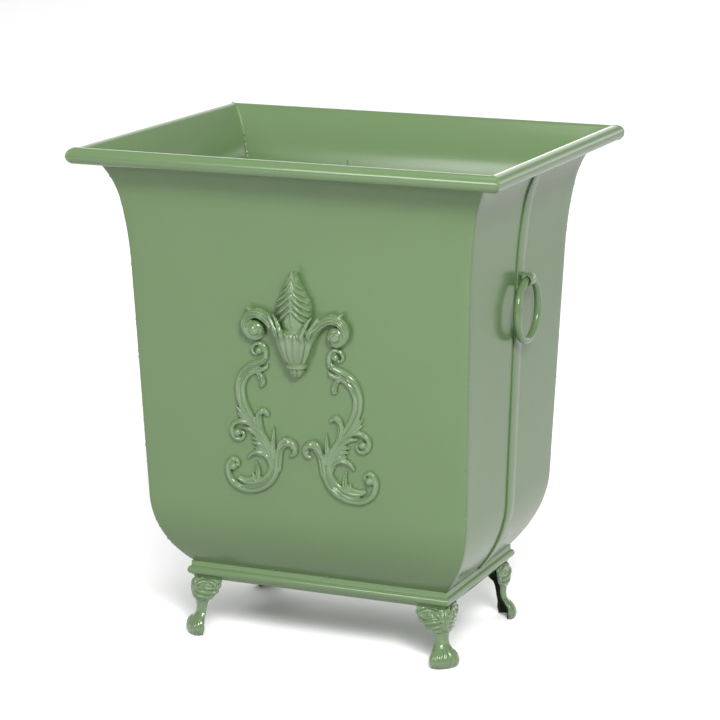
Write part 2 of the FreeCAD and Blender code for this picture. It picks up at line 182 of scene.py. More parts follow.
def widen(bm, edges, width):
    """Extrudes a line in the upright plane into a strip, half the width to each side of it."""
    strip = bmesh.ops.extrude_edge_only(bm, edges=edges)["geom"]
    bmesh.ops.translate(bm, verts=verts_of(strip), vec=(0, width, 0))
    bmesh.ops.translate(bm, verts=bm.verts[:], vec=(0, -width / 2, 0))
    return strip


def face_out(bm, outward):
    """Turns an open sheet so that its faces look outwards."""
    bmesh.ops.recalc_face_normals(bm, faces=bm.faces[:])
    bm.normal_update()
    if sum(f.normal.dot(outward(f.calc_center_median())) * f.calc_area() for f in bm.faces) < 0:
        bmesh.ops.reverse_faces(bm, faces=bm.faces[:])
        bm.normal_update()


def thicken(bm, thickness):
    """Gives an open sheet its thickness, inwards from its faces."""
    bmesh.ops.solidify(bm, geom=bm.faces[:], thickness=thickness)


def round_off(bm, edges, width, segments, clamp=True):
    """Rounds the given edges."""
    bmesh.ops.bevel(bm, geom=edges, offset=width, offset_type="OFFSET", affect="EDGES", segments=segments,
                    profile=0.5, material=-1, clamp_overlap=clamp)


def ease_strip(bm, width):
    """Rounds every edge of a bent strip that turns by more than its bends do."""
    bm.normal_update()
    round_off(bm, [e for e in bm.edges if e.is_manifold and e.calc_face_angle(0) > radians(60)], width, 3)


def soften(bm):
    """Smooths a casting's skin once over."""
    bmesh.ops.smooth_vert(bm, verts=bm.verts[:], factor=0.5, use_axis_x=True, use_axis_y=True,
                          use_axis_z=True)


def mesh_object(bm, name):
    """Object in the scene made of a mesh, which is used up."""
    mesh = bpy.data.meshes.new(name)
    bm.to_mesh(mesh)
    bm.free()
    piece = bpy.data.objects.new(name, mesh)
    bpy.context.scene.collection.objects.link(piece)
    return piece


def place_piece(bm, name, finish, nodes, body="planter", turn=None, crease=radians(32)):
    """Makes a finished piece of a mesh, turned into place, riding on a body instead of its CAD nodes."""
    if turn is not None:
        bmesh.ops.transform(bm, matrix=turn, verts=bm.verts[:])
    bm.normal_update()
    for face in bm.faces:
        face.smooth = True
    for edge in bm.edges:
        edge.smooth = edge.calc_face_angle(0) < crease
    piece = mesh_object(bm, name)
    piece.data.materials.append(finish)
    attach(piece, body)
    if nodes:
        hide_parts(*nodes)
    return piece


def fused(bm, softenings):
    """Closed shapes that overlap, fused into one skin and softened as a casting is."""
    bmesh.ops.recalc_face_normals(bm, faces=bm.faces[:])
    loose = mesh_object(bm, "loose_casting")
    remesh = loose.modifiers.new("fuse", "REMESH")
    remesh.mode = "VOXEL"
    remesh.voxel_size = casting_voxel
    remesh.adaptivity = 0.0
    skin = bpy.data.meshes.new_from_object(loose.evaluated_get(bpy.context.evaluated_depsgraph_get()))
    cast = bmesh.new()
    cast.from_mesh(skin)
    bare = loose.data
    bpy.data.objects.remove(loose)
    bpy.data.meshes.remove(bare)
    bpy.data.meshes.remove(skin)
    for _ in range(softenings):
        soften(cast)
    return cast


def smooth_run(points, steps):
    """Points along a smooth line through the given ones."""
    first = points[0] * 2 - points[1]
    last = points[-1] * 2 - points[-2]
    around = [first] + points + [last]
    line = []
    for a, b, c, d in zip(around, around[1:], around[2:], around[3:]):
        for step in range(steps):
            t = step / steps
            line.append((b * 2 + (c - a) * t + (a * 2 - b * 5 + c * 4 - d) * t ** 2
                         + (b * 3 - a - c * 3 + d) * t ** 3) / 2)
    return line + [points[-1]]


def draw_out(bm, places, segments):
    """Closed shape drawn from a disc at the first place through all the others, which are matrices."""
    disc = bmesh.ops.create_circle(bm, cap_ends=True, radius=1.0, segments=segments, matrix=places[0])
    face = first = disc["verts"][0].link_faces[0]
    for before, now in zip(places, places[1:]):
        drawn = bmesh.ops.extrude_face_region(bm, geom=[face])["geom"]
        if face is not first:
            bmesh.ops.delete(bm, geom=[face], context="FACES_ONLY")
        face = faces_of(drawn)[0]
        bmesh.ops.transform(bm, matrix=now @ before.inverted(), verts=face.verts[:])


def round_end(end, beside):
    """Point past the end of a limb, where it closes in."""
    tip = end + (end - beside).normalized() * (end.w * 0.55)
    tip.w = end.w * 0.45
    return tip


def limb(bm, run, relief=1.0):
    """Closed limb with round ends along points that hold a place and, fourth, a half width."""
    run = [round_end(run[0], run[1])] + run + [round_end(run[-1], run[-2])]
    places = []
    for before, here, after in zip(run[:1] + run, run, run[1:] + run[-1:]):
        tangent = (after - before).to_3d().normalized()
        across = tangent.cross(Vector((0, 1, 0))).normalized()
        facing = Matrix((across, across.cross(tangent), tangent)).transposed().to_quaternion()
        places.append(Matrix.LocRotScale(here.to_3d(), facing, Vector((here.w, here.w * relief, here.w))))
    draw_out(bm, places, 10)


# Finishes

class Signal:
    """A socket in a finish's node tree. Sums and products on it add Math nodes."""

    def __init__(self, tree, socket=None):
        self.tree = tree
        self.socket = socket

    def fill(self, node, sockets):
        """Gives a node's sockets their values or links."""
        for name, value in sockets.items():
            if isinstance(value, Signal):
                self.tree.links.new(value.socket, node.inputs[name])
            else:
                node.inputs[name].default_value = value

    def add(self, kind, settings=None, sockets=None, result=0):
        """Adds a node: its settings first, then the values or links of its sockets."""
        node = self.tree.nodes.new(kind)
        for name, value in (settings or {}).items():
            setattr(node, name, value)
        self.fill(node, sockets or {})
        return Signal(self.tree, node.outputs[result])

    def maths(self, operation, first, second):
        return self.add("ShaderNodeMath", {"operation": operation}, {0: first, 1: second})

    def __add__(self, other):
        return self.maths("ADD", self, other)

    def __radd__(self, other):
        return self.maths("ADD", other, self)

    def __sub__(self, other):
        return self.maths("SUBTRACT", self, other)

    def __rsub__(self, other):
        return self.maths("SUBTRACT", other, self)

    def __mul__(self, other):
        return self.maths("MULTIPLY", self, other)

    def __rmul__(self, other):
        return self.maths("MULTIPLY", other, self)

    def noise(self, scale, detail=2.0, roughness=0.5):
        """Noise of about 0 to 1 over this place."""
        return self.add("ShaderNodeTexNoise", sockets={"Vector": self, "Scale": scale, "Detail": detail,
                                                       "Roughness": roughness})

    def rising(self, start, end):
        """Share that eases from 0 at a start of this value to 1 at its end."""
        return self.add("ShaderNodeMapRange", {"interpolation_type": "SMOOTHSTEP"},
                        {"Value": self, "From Min": start, "From Max": end})

    def between(self, low, high):
        """Colour between two others, or signals of them, by this share."""
        return self.add("ShaderNodeMix", {"data_type": "RGBA"}, {0: self, 6: low, 7: high}, 2)

    def bump(self):
        """Normal of a skin raised by this height."""
        return self.add("ShaderNodeBump", sockets={"Strength": 1.0, "Distance": 1.0, "Height": self})


def new_finish(name):
    """Material, its Principled shader and the place on the piece to start patterns from."""
    finish = bpy.data.materials.new(name)
    finish.use_nodes = True
    tree = finish.node_tree
    shader = tree.nodes["Principled BSDF"]
    return finish, shader, Signal(tree).add("ShaderNodeTexCoord", result="Object")


sage = (0.186, 0.300, 0.131, 1.0)
sage_pale = (0.200, 0.318, 0.143, 1.0)
# The deepest sage is only painted shade, laid into crevices
sage_in_painted_shade = (0.085, 0.145, 0.058, 1.0)


def sage_enamel(name, roughness, peel, lumps, coat, shine, painted_crevice_shade=0.0):
    """Sprayed green enamel: depths of its orange peel and of lumps under it, clear coat, shine and painted
    shade in its crevices.
    """
    finish, shader, place = new_finish(name)
    tone = place.noise(14.0, 3.0).between(sage, sage_pale)
    rough = roughness - 0.05 + place.noise(38.0, 4.0, 0.6) * 0.10
    if painted_crevice_shade:
        # Painted shade: ambient occlusion darkens the base colour towards deep sage, and roughens it, where
        # nearby metal hems the surface in
        crevice = place.add("ShaderNodeAmbientOcclusion", {"samples": 8}, {"Distance": 4 * mm}, "AO")
        shadow = (1 - crevice) * painted_crevice_shade
        tone = shadow.between(tone, sage_in_painted_shade)
        rough = rough + shadow * 0.18
    skin = place.noise(620.0, 1.0) * peel + place.noise(170.0, 2.0) * lumps
    place.fill(shader, {"Base Color": tone, "Roughness": rough, "Normal": skin.bump(), "Coat Weight": coat,
                        "Coat Roughness": 0.08, "Specular IOR Level": shine})
    return finish


def zinc_plate():
    """Clouded zinc on the bolts and nuts."""
    finish, shader, place = new_finish("zinc_on_bolts")
    cloud = place.noise(260.0, 4.0, 0.6)
    frost = place.noise(1500.0, 2.0) * (0.02 * mm)
    place.fill(shader, {"Base Color": cloud.between((0.52, 0.52, 0.50, 1.0), (0.72, 0.72, 0.70, 1.0)),
                        "Roughness": 0.26 + cloud * 0.22, "Metallic": 1.0, "Normal": frost.bump()})
    return finish


def hollow_painted_shade():
    """Sand-grained casting skin inside the hollow feet, coloured near black as painted shade of the hollow.
    """
    finish, shader, place = new_finish("painted_shade_inside_feet")
    grain = place.noise(420.0, 4.0, 0.6)
    sand = grain * (0.12 * mm)
    place.fill(shader, {"Base Color": grain.between((0.010, 0.016, 0.008, 1.0), (0.030, 0.046, 0.024, 1.0)),
                        "Roughness": 0.75, "Normal": sand.bump()})
    return finish


sheet_paint = sage_enamel("sage_enamel_on_sheet", roughness=0.22, peel=0.004 * mm, lumps=0.010 * mm,
                          coat=0.1, shine=0.5)
bar_paint = sage_enamel("sage_enamel_on_bar", roughness=0.22, peel=0.0, lumps=0.004 * mm,
                        coat=0.4, shine=0.5)
# The castings and rings carry painted shade in their crevices; the sheet and bars carry none
casting_paint = sage_enamel("sage_enamel_on_casting", roughness=0.20, peel=0.008 * mm, lumps=0.025 * mm,
                            coat=0.9, shine=0.7, painted_crevice_shade=0.28)
ring_paint = sage_enamel("sage_enamel_on_rings", roughness=0.20, peel=0.0, lumps=0.004 * mm,
                         coat=0.3, shine=0.5, painted_crevice_shade=0.7)
bolt_zinc = zinc_plate()
foot_hollow_shade = hollow_painted_shade()


# Walls

class WallProfile:
    """Outer face of one pair of walls: u outwards from the middle, z up."""

    def __init__(self, base_half, lean):
        self.base_half = base_half
        self.lean = lean
        self.belly_u = base_half - belly_radius * cos(belly_start)
        self.belly_z = moulding_top + belly_radius * sin(belly_start)
        self.lean_start_z = self.belly_z - belly_radius * sin(lean)
        self.top_z = rim_height + (rim_radius - sheet) * sin(lip_end)
        self.lip_z = self.top_z - lip_radius * sin(lip_end)
        self.turn_z = self.lip_z + lip_radius * sin(lip_start)
        self.flare_z = self.turn_z - flare_radius * sin(lip_start)
        self.lean_end_z = self.flare_z + flare_radius * sin(lean)
        self.flare_u = self.wall_u(self.lean_end_z) + flare_radius * cos(lean)
        self.lip_u = self.flare_u - (flare_radius - lip_radius) * cos(lip_start)
        self.rim_u = self.half_at(self.top_z) + (rim_radius - sheet) * cos(lip_end)

    def wall_u(self, z):
        """Half size of the straight, leaning part."""
        start_u = self.belly_u + belly_radius * cos(self.lean)
        return start_u + (z - self.lean_start_z) * tan(self.lean)

    def half_at(self, z):
        """Half size at any height."""
        if z < self.lean_start_z:
            return self.belly_u + sqrt(belly_radius ** 2 - (self.belly_z - z) ** 2)
        if z < self.lean_end_z:
            return self.wall_u(z)
        if z < self.turn_z:
            return self.flare_u - sqrt(flare_radius ** 2 - (z - self.flare_z) ** 2)
        return self.lip_u - sqrt(lip_radius ** 2 - (z - self.lip_z) ** 2)

    def trace(self, bm, stand_off, low, high):
        """Line along the outer face, moved out by a stand-off, from the belly up to a height on the lip."""
        belly = belly_radius + stand_off
        start = asin((self.belly_z - low) / belly)
        tip = bm.verts.new((self.belly_u + belly * cos(start), 0, low))
        tip = roll(bm, tip, self.belly_u, self.belly_z, self.lean - start, 16)
        straight = flare_radius - stand_off
        tip = run_to(bm, tip, self.flare_u - straight * cos(self.lean),
                     self.flare_z + straight * sin(self.lean), 8)
        tip = roll(bm, tip, self.flare_u, self.flare_z, lip_start - self.lean, 6)
        lip = lip_radius - stand_off
        roll(bm, tip, self.lip_u, self.lip_z, asin((high - self.lip_z) / lip) - lip_start, 12)


side_walls = WallProfile(base_half_width, side_lean)
front_walls = WallProfile(base_half_depth, front_lean)


def walls_of(side):
    """Profile of a side and of the sides next to it."""
    if side in ("front", "rear"):
        return front_walls, side_walls
    return side_walls, front_walls


def spread(start, end, parts):
    """Values at even steps from a start up to, but without, an end."""
    return [start + (end - start) * i / parts for i in range(parts)]


def smooth_step(share):
    share = min(max(share, 0.0), 1.0)
    return share * share * (3 - 2 * share)


def wall_shell():
    """All four walls as one thin skin with rounded corners, drawn up row by row."""
    bm = bmesh.new()
    rows = [side_walls.belly_z - belly_radius * sin(a) for a in spread(belly_start, side_lean, 18)]
    rows += spread(side_walls.lean_start_z, side_walls.lean_end_z, 14)
    rows += [side_walls.flare_z + flare_radius * sin(a) for a in spread(side_lean, lip_start, 8)]
    rows += [side_walls.lip_z + lip_radius * sin(a) for a in spread(lip_start, lip_end, 16)]
    rows.append(side_walls.top_z)
    signs = [(-1, -1), (1, -1), (1, 1), (-1, 1)]
    corners = [bm.verts.new((x, y, 0)) for x, y in signs]
    loop = [bm.edges.new((corners[i - 1], corners[i])) for i in range(4)]
    for vert in corners:
        vert.co = (vert.co.x * side_walls.half_at(rows[0]), vert.co.y * front_walls.half_at(rows[0]), rows[0])
    for below, z in zip(rows, rows[1:]):
        grown = bmesh.ops.extrude_edge_only(bm, edges=loop)["geom"]
        loop = edges_of(grown)
        for vert in verts_of(grown):
            vert.co.x *= side_walls.half_at(z) / side_walls.half_at(below)
            vert.co.y *= front_walls.half_at(z) / front_walls.half_at(below)
            vert.co.z = z
    risers = [e for e in bm.edges if abs(e.verts[0].co.z - e.verts[1].co.z) > sheet / 10]
    round_off(bm, risers, corner_radius, 6, clamp=False)
    courses = [e for e in bm.edges if e.calc_length() > base_half_depth]
    bmesh.ops.subdivide_edges(bm, edges=courses, cuts=27, use_grid_fill=True)
    face_out(bm, lambda centre: Vector((centre.x, centre.y, 0)))
    return bm


def wall_panel(shell, side):
    """One wall of the shell: hand-dressed sheet with a slow wave, given its thickness."""
    bm = shell.copy()
    turn = side_turns[side]
    out = turn @ Vector((1, 0, 0))
    along = turn @ Vector((0, 1, 0))
    others = [f for f in bm.faces if f.normal.dot(out) < abs(f.normal.dot(along))]
    bmesh.ops.delete(bm, geom=others, context="FACES")
    bm.normal_update()
    own, beside = walls_of(side)
    for vert in bm.verts:
        at_along = vert.co.dot(along)
        border = min(beside.half_at(vert.co.z) - abs(at_along), 1.2 * (vert.co.z - moulding_top),
                     1.6 * (own.top_z - vert.co.z))
        slack = smooth_step(border / sheet_wave_margin)
        wave = noise.noise(vert.co / sheet_wave_length + out * 7) * sheet_wave * slack
        vert.co += vert.normal * wave
    thicken(bm, sheet)
    return bm


shell = wall_shell()
for side in side_turns:
    node = side + ("_panel" if side in ("front", "rear") else "_side_panel")
    place_piece(wall_panel(shell, side), node + "_sheet", sheet_paint, [node])
shell.free()


def set_mitres(bm, half, half_along):
    """Draws the ends of a bar, lying along Y, out to the 45 degree mitre planes of its frame."""
    for vert in bm.verts:
        reach = half_along + vert.co.x - half
        vert.co.y = reach if vert.co.y > 0 else -reach


def rim_rail(side):
    """Rim bead: the sheet rolled outwards and under."""
    own, beside = walls_of(side)
    bm = bmesh.new()
    tip = bm.verts.new((own.rim_u + rim_radius * cos(curl_start), 0,
                        rim_height + rim_radius * sin(curl_start)))
    roll(bm, tip, own.rim_u, rim_height, curl_start - curl_end, 48)
    widen(bm, bm.edges[:], 2 * beside.rim_u)
    middle = Vector((own.rim_u, 0, rim_height))
    face_out(bm, lambda centre: Vector((centre.x - middle.x, 0, centre.z - middle.z)))
    thicken(bm, sheet)
    set_mitres(bm, own.rim_u, beside.rim_u)
    return bm


def base_moulding(side):
    """Bar with a flat fillet, a small cove, a round nose and a hollow return."""
    own, beside = walls_of(side)
    base = own.base_half
    fillet_u = base + moulding_ledge
    fillet_z = moulding_top - moulding_fillet
    bead_u = fillet_u + moulding_cove
    bead_z = fillet_z - moulding_cove
    low_z = bead_z - moulding_bead
    toe_u = base - moulding_return
    inner_u = fillet_u - moulding_thickness
    bm = bmesh.new()
    first = bm.verts.new((inner_u, 0, foot_height))
    tip = run_to(bm, first, inner_u, moulding_top)
    tip = run_to(bm, tip, fillet_u, moulding_top)
    tip = run_to(bm, tip, fillet_u, fillet_z)
    turn = moulding_cove / sqrt(2)
    tip = roll_through(bm, tip, (bead_u - turn, fillet_z - turn), (bead_u, bead_z), 6)
    tip = roll_through(bm, tip, (base + moulding_nose, (bead_z + low_z) / 2), (bead_u, low_z), 14)
    hollow = ((bead_u + toe_u - moulding_hollow) / 2, (low_z + foot_height + moulding_hollow) / 2)
    tip = roll_through(bm, tip, hollow, (toe_u, foot_height), 8)
    bm.edges.new((tip, first))
    section = bmesh.ops.contextual_create(bm, geom=bm.edges[:])["faces"]
    bar = bmesh.ops.extrude_face_region(bm, geom=section)["geom"]
    bmesh.ops.translate(bm, verts=verts_of(bar), vec=(0, 2 * beside.base_half, 0))
    bmesh.ops.translate(bm, verts=bm.verts[:], vec=(0, -beside.base_half, 0))
    set_mitres(bm, base, beside.base_half)
    bmesh.ops.recalc_face_normals(bm, faces=bm.faces[:])
    lengthwise = [e for e in bm.edges if e.calc_length() > base_half_depth]
    round_off(bm, [e for e in lengthwise if e.calc_face_angle(0) > radians(40)], moulding_arris, 2)
    return bm


for side, turn in side_turns.items():
    place_piece(rim_rail(side), side + "_rolled_rim", bar_paint,
                [side + "_rim_rail"], turn=turn)
    place_piece(base_moulding(side), side + "_moulding_bar", bar_paint,
                [side + "_base_moulding"], turn=turn)


# Side straps, saddles and rings

ring_pivot_u = side_walls.wall_u(ring_pivot_height) + strap_thickness / cos(side_lean) + ring_stand_off


def side_strap():
    """Flat strap laid on the outside of a side wall, from the moulding up to the lip."""
    bm = bmesh.new()
    side_walls.trace(bm, strap_thickness, strap_low, strap_high)
    widen(bm, bm.edges[:], strap_width)
    face_out(bm, lambda centre: Vector((1, 0, 0)))
    thicken(bm, strap_thickness)
    ease_strip(bm, strap_arris)
    return bm


def ring_saddle():
    """Strip bent round the top of the ring, its legs let into the strap."""
    inside = ring_radius - ring_wire / 2
    hollow = ring_radius - sqrt(inside ** 2 - (saddle_width / 2) ** 2) + ring_clearance
    bend = hollow + saddle_sheet
    root_u = ring_pivot_u - ring_stand_off - strap_thickness / 2
    bm = bmesh.new()
    tip = bm.verts.new((root_u, 0, ring_pivot_height + bend))
    tip = run_to(bm, tip, ring_pivot_u, ring_pivot_height + bend, 3)
    tip = roll(bm, tip, ring_pivot_u, ring_pivot_height, pi, 24)
    run_to(bm, tip, root_u, ring_pivot_height - bend, 3)
    widen(bm, bm.edges[:], saddle_width)
    face_out(bm, lambda centre: Vector((centre.x - ring_pivot_u, 0, centre.z - ring_pivot_height)))
    thicken(bm, saddle_sheet)
    ease_strip(bm, saddle_arris)
    return bm


def handle_ring():
    """Round wire bent to a ring, hanging in its saddle."""
    bm = bmesh.new()
    wire = Matrix.Translation((ring_pivot_u, 0, ring_pivot_height)) @ Matrix.Rotation(pi / 2, 4, "X")
    bmesh.ops.create_circle(bm, cap_ends=False, radius=ring_wire / 2, segments=28, matrix=wire)
    bmesh.ops.spin(bm, geom=bm.edges[:], cent=(ring_pivot_u, 0, ring_pivot_height - ring_radius),
                   axis=(1, 0, 0), angle=2 * pi, steps=112, use_merge=True)
    bmesh.ops.remove_doubles(bm, verts=bm.verts[:], dist=sheet / 100)
    bmesh.ops.recalc_face_normals(bm, faces=bm.faces[:])
    return bm


for side in ("left", "right"):
    turn = side_turns[side]
    place_piece(side_strap(), side + "_flat_strap", sheet_paint,
                [side + "_side_strap"], turn=turn)
    place_piece(ring_saddle(), side + "_bent_saddle", ring_paint,
                [side + "_ring_saddle"], turn=turn)
    place_piece(handle_ring(), side + "_handle_ring", ring_paint,
                [side + "_ring"], body=side + "_handle", turn=turn)


# Claw feet

# Sections from the top down: share of the foot's height, how far the apex stands out, and the (outward,
# sideways) places of the middle and the end of a wing, in mm from the corner that the foot stands under
foot_sections = [
    (1.02, -0.8, (-9.0, 9.8), (-17.2, 19.8)),
    (0.955, 0.6, (-7.4, 10.2), (-17.0, 19.8)),
    (0.90, 2.6, (-5.0, 10.8), (-16.6, 19.8)),
    (0.80, 3.0, (-4.0, 10.0), (-15.0, 17.6)),
    (0.71, 2.4, (-3.4, 8.8), (-13.2, 14.8)),
    (0.645, 1.6, (-3.0, 7.6), (-11.4, 12.6)),
    (0.60, 0.6, (-2.6, 6.2), (-9.2, 9.2)),
    (0.54, 0.0, (-2.6, 5.6), (-8.4, 7.6)),
    (0.46, -0.4, (-2.6, 5.2), (-7.8, 6.9)),
    (0.38, 0.2, (-2.0, 5.8), (-7.0, 7.2)),
    (0.32, 2.4, (-0.4, 7.4), (-5.6, 8.8)),
    (0.26, 5.0, (2.2, 9.6), (-4.2, 10.9)),
    (0.19, 7.4, (4.4, 11.2), (-3.0, 12.6)),
    (0.12, 8.2, (5.2, 11.6), (-2.4, 13.0)),
    (0.05, 7.6, (4.6, 11.0), (-2.6, 12.2)),
    (0.00, 5.4, (2.8, 9.0), (-2.8, 10.2)),
]


def foot_lines():
    """Outer lines of the sections, each from wing end to wing end, as points (outward, sideways, height)."""
    lines = []
    for share, apex, middle, end in foot_sections:
        half = [end, middle, (apex, 0.0)]
        whole = half + [(d, -w) for d, w in reversed(half[:2])]
        lines.append(smooth_run([Vector((d, w, share * foot_top / mm)) * mm for d, w in whole], 6))
    return lines


def foot_skin(lines, across, height):
    """Point on the foot's outer skin: across runs from -1 to 1 over the wings, height is in mm."""
    heights = [line[0].z for line in lines]
    z = height * mm
    upper = max(i for i, h in enumerate(heights) if h >= z - 1e-9)
    lower = min(upper + 1, len(lines) - 1)
    gap = heights[upper] - heights[lower]
    share = (heights[upper] - z) / gap if gap else 0.0
    spot = (1 - across) / 2 * (len(lines[0]) - 1)
    i = min(int(spot), len(lines[0]) - 2)
    row = [line[i].lerp(line[i + 1], spot - i) for line in (lines[upper], lines[lower])]
    return row[0].lerp(row[1], share)


# Raised work on a foot: how far a limb is sunk into the skin, as a share of its half width and below zero
# where it is lifted, then its points as (share across the wing, height, half width), in mm; all but the
# middle toe are repeated on the other wing
foot_work = {
    "curl": (-0.3, [(0.16, 43.0, 1.5), (0.24, 48.6, 1.9), (0.42, 51.4, 2.0), (0.66, 51.2, 2.0),
                    (0.84, 49.0, 1.8), (0.80, 46.0, 1.7), (0.62, 45.2, 1.6), (0.48, 46.6, 1.3)]),
    "curl_eye": (0.2, [(0.54, 48.6, 1.5), (0.62, 48.4, 1.5)]),
    "upper_lobe": (-0.15, [(0.20, 43.2, 1.4), (0.42, 42.0, 2.1), (0.68, 41.0, 2.3), (0.90, 41.2, 1.7)]),
    "lower_lobe": (-0.15, [(0.18, 39.4, 1.4), (0.40, 37.4, 2.1), (0.66, 36.4, 2.2), (0.90, 36.8, 1.6)]),
    "upper_edge": (0.1, [(0.86, 45.6, 1.3), (0.98, 47.4, 1.6), (0.99, 50.4, 1.5)]),
    "lower_edge": (0.1, [(0.90, 40.0, 1.2), (0.99, 41.8, 1.5), (0.99, 44.4, 1.3)]),
    "shin_rib": (0.05, [(0.09, 52.6, 1.5), (0.09, 45.0, 1.8), (0.09, 38.0, 1.7), (0.05, 34.4, 1.3)]),
    "cuff": (0.1, [(0.16, 33.4, 1.2), (0.36, 33.0, 1.4), (0.60, 33.6, 1.4), (0.84, 35.0, 1.1)]),
    "middle_toe": (0.72, [(0.0, 16.0, 1.8), (0.0, 11.6, 2.4), (0.0, 7.0, 2.6), (0.0, 3.4, 2.2)]),
    "second_toe": (0.72, [(0.18, 16.0, 1.8), (0.20, 11.6, 2.4), (0.21, 7.0, 2.6), (0.20, 3.4, 2.2)]),
    "third_toe": (0.72, [(0.36, 15.6, 1.8), (0.40, 11.4, 2.4), (0.42, 7.0, 2.6), (0.40, 3.4, 2.2)]),
    "fourth_toe": (0.72, [(0.54, 15.0, 1.8), (0.60, 11.0, 2.4), (0.63, 6.8, 2.6), (0.60, 3.4, 2.2)]),
    "outer_toe": (0.72, [(0.74, 14.2, 1.8), (0.82, 10.4, 2.4), (0.85, 6.6, 2.6), (0.82, 3.4, 2.2)]),
}


def claw_foot():
    """Hollow casting: shell with an acanthus knee, slim ankle and toed paw, and a lug for the bolt."""
    lines = foot_lines()
    bm = bmesh.new()
    ends = [bm.verts.new(point) for point in lines[0]]
    row = [bm.edges.new(pair) for pair in zip(ends, ends[1:])]
    for above, line in zip(lines, lines[1:]):
        drawn = bmesh.ops.extrude_edge_only(bm, edges=row)["geom"]
        row = edges_of(drawn)
        for vert in verts_of(drawn):
            vert.co = line[min(range(len(above)), key=lambda i: (vert.co - above[i]).length)]
    face_out(bm, lambda centre: Vector((1, 0, 0)))
    thicken(bm, foot_wall)
    for sunk, work in foot_work.values():
        for wing in (1, -1) if work[0][0] else (1,):
            points = []
            for across, height, half in work:
                spot = foot_skin(lines, across * wing, height)
                inward = (Vector((hollow_middle, 0, spot.z)) - spot).normalized()
                points.append(Vector((*(spot + inward * (sunk * half * mm)), half * mm)))
            limb(bm, smooth_run(points, 4))
    lug_reach = bolt_setback + lug_margin
    lug = Matrix.Translation((-lug_reach / 2, 0, foot_height - lug_thickness / 2))
    lug = lug @ Matrix.Diagonal((lug_reach, lug_width, lug_thickness, 1))
    bmesh.ops.create_cube(bm, size=1.0, matrix=lug)
    cast = fused(bm, softenings=2)
    for vert in cast.verts:
        vert.co.z = min(max(vert.co.z, 0.0), foot_height if vert.co.x < hollow_middle else foot_top)
    cast.normal_update()
    # Faces that look into the hollow take the second finish, the near-black painted shade
    for face in cast.faces:
        from_hollow = face.calc_center_median() - Vector((hollow_middle, 0, 0))
        if face.normal.xy.dot(from_hollow.xy) < 0:
            face.material_index = 1
    return cast


foot_places = {
    "front_right": (1, -1, radians(-45)),
    "front_left": (-1, -1, radians(-135)),
    "rear_right": (1, 1, radians(45)),
    "rear_left": (-1, 1, radians(135)),
}
foot_back = moulding_return + foot_inset
foot_casting = claw_foot()
for name, (x, y, angle) in foot_places.items():
    corner = Vector((x * (base_half_width - foot_back), y * (base_half_depth - foot_back), 0))
    turn = Matrix.Translation(corner) @ Matrix.Rotation(angle, 4, "Z")
    foot = place_piece(foot_casting.copy(), name + "_claw_foot", casting_paint,
                       [name + "_foot"], turn=turn, crease=casting_crease)
    # Second finish: painted shade on the inside of the hollow
    foot.data.materials.append(foot_hollow_shade)
foot_casting.free()


# Applied ornament, laid out in mm on the front wall

def stroke(bm, points, stand, sign=1, relief=1.0):
    """Rounded limb along points (x, z, width) or (x, z, width, lift), its middle standing off the wall."""
    run = []
    for x, z, width, *lift in points:
        run.append(Vector((sign * x, -stand - sum(lift), z, width / 2)) * mm)
    limb(bm, smooth_run(run, 5), relief)


def eye(bm, x, z, radius, stand, flat=1.0):
    """Round end of a volute, its depth flat times its width."""
    place = Matrix.Translation(Vector((x, -stand, z)) * mm) @ Matrix.Diagonal((1, flat, 1, 1))
    bmesh.ops.create_icosphere(bm, subdivisions=3, radius=radius * mm, matrix=place)


def on_front_wall(bm):
    """Lays work drawn upright in the middle plane on the leaning front wall, its back flat against it."""
    for vert in bm.verts:
        vert.co.y = min(vert.co.y, 0.0)
    lean = Matrix.Translation((0, -front_walls.wall_u(ornament_middle), ornament_middle))
    lean = lean @ Matrix.Rotation(front_lean, 4, "X") @ Matrix.Translation((0, 0, -ornament_middle))
    bmesh.ops.transform(bm, matrix=lean, verts=bm.verts[:])
    bmesh.ops.recalc_face_normals(bm, faces=bm.faces[:])


def carve(bm, lines, width, depth):
    """Presses rounded grooves into the relief along lines of (x, z) points."""
    spots = []
    for line in lines:
        spots += smooth_run([Vector((x, 0.0, z)) * mm for x, z in line], 14)
    tree = kdtree.KDTree(len(spots))
    for i, spot in enumerate(spots):
        tree.insert(spot, i)
    tree.balance()
    reach = width / 2 * mm
    for vert in bm.verts:
        if vert.co.y < -groove_floor:
            _, _, away = tree.find((vert.co.x, 0.0, vert.co.z))
            if away < reach:
                press = depth * mm * (1 - (away / reach) ** 2) ** 2
                vert.co.y = min(vert.co.y + press, -groove_floor)


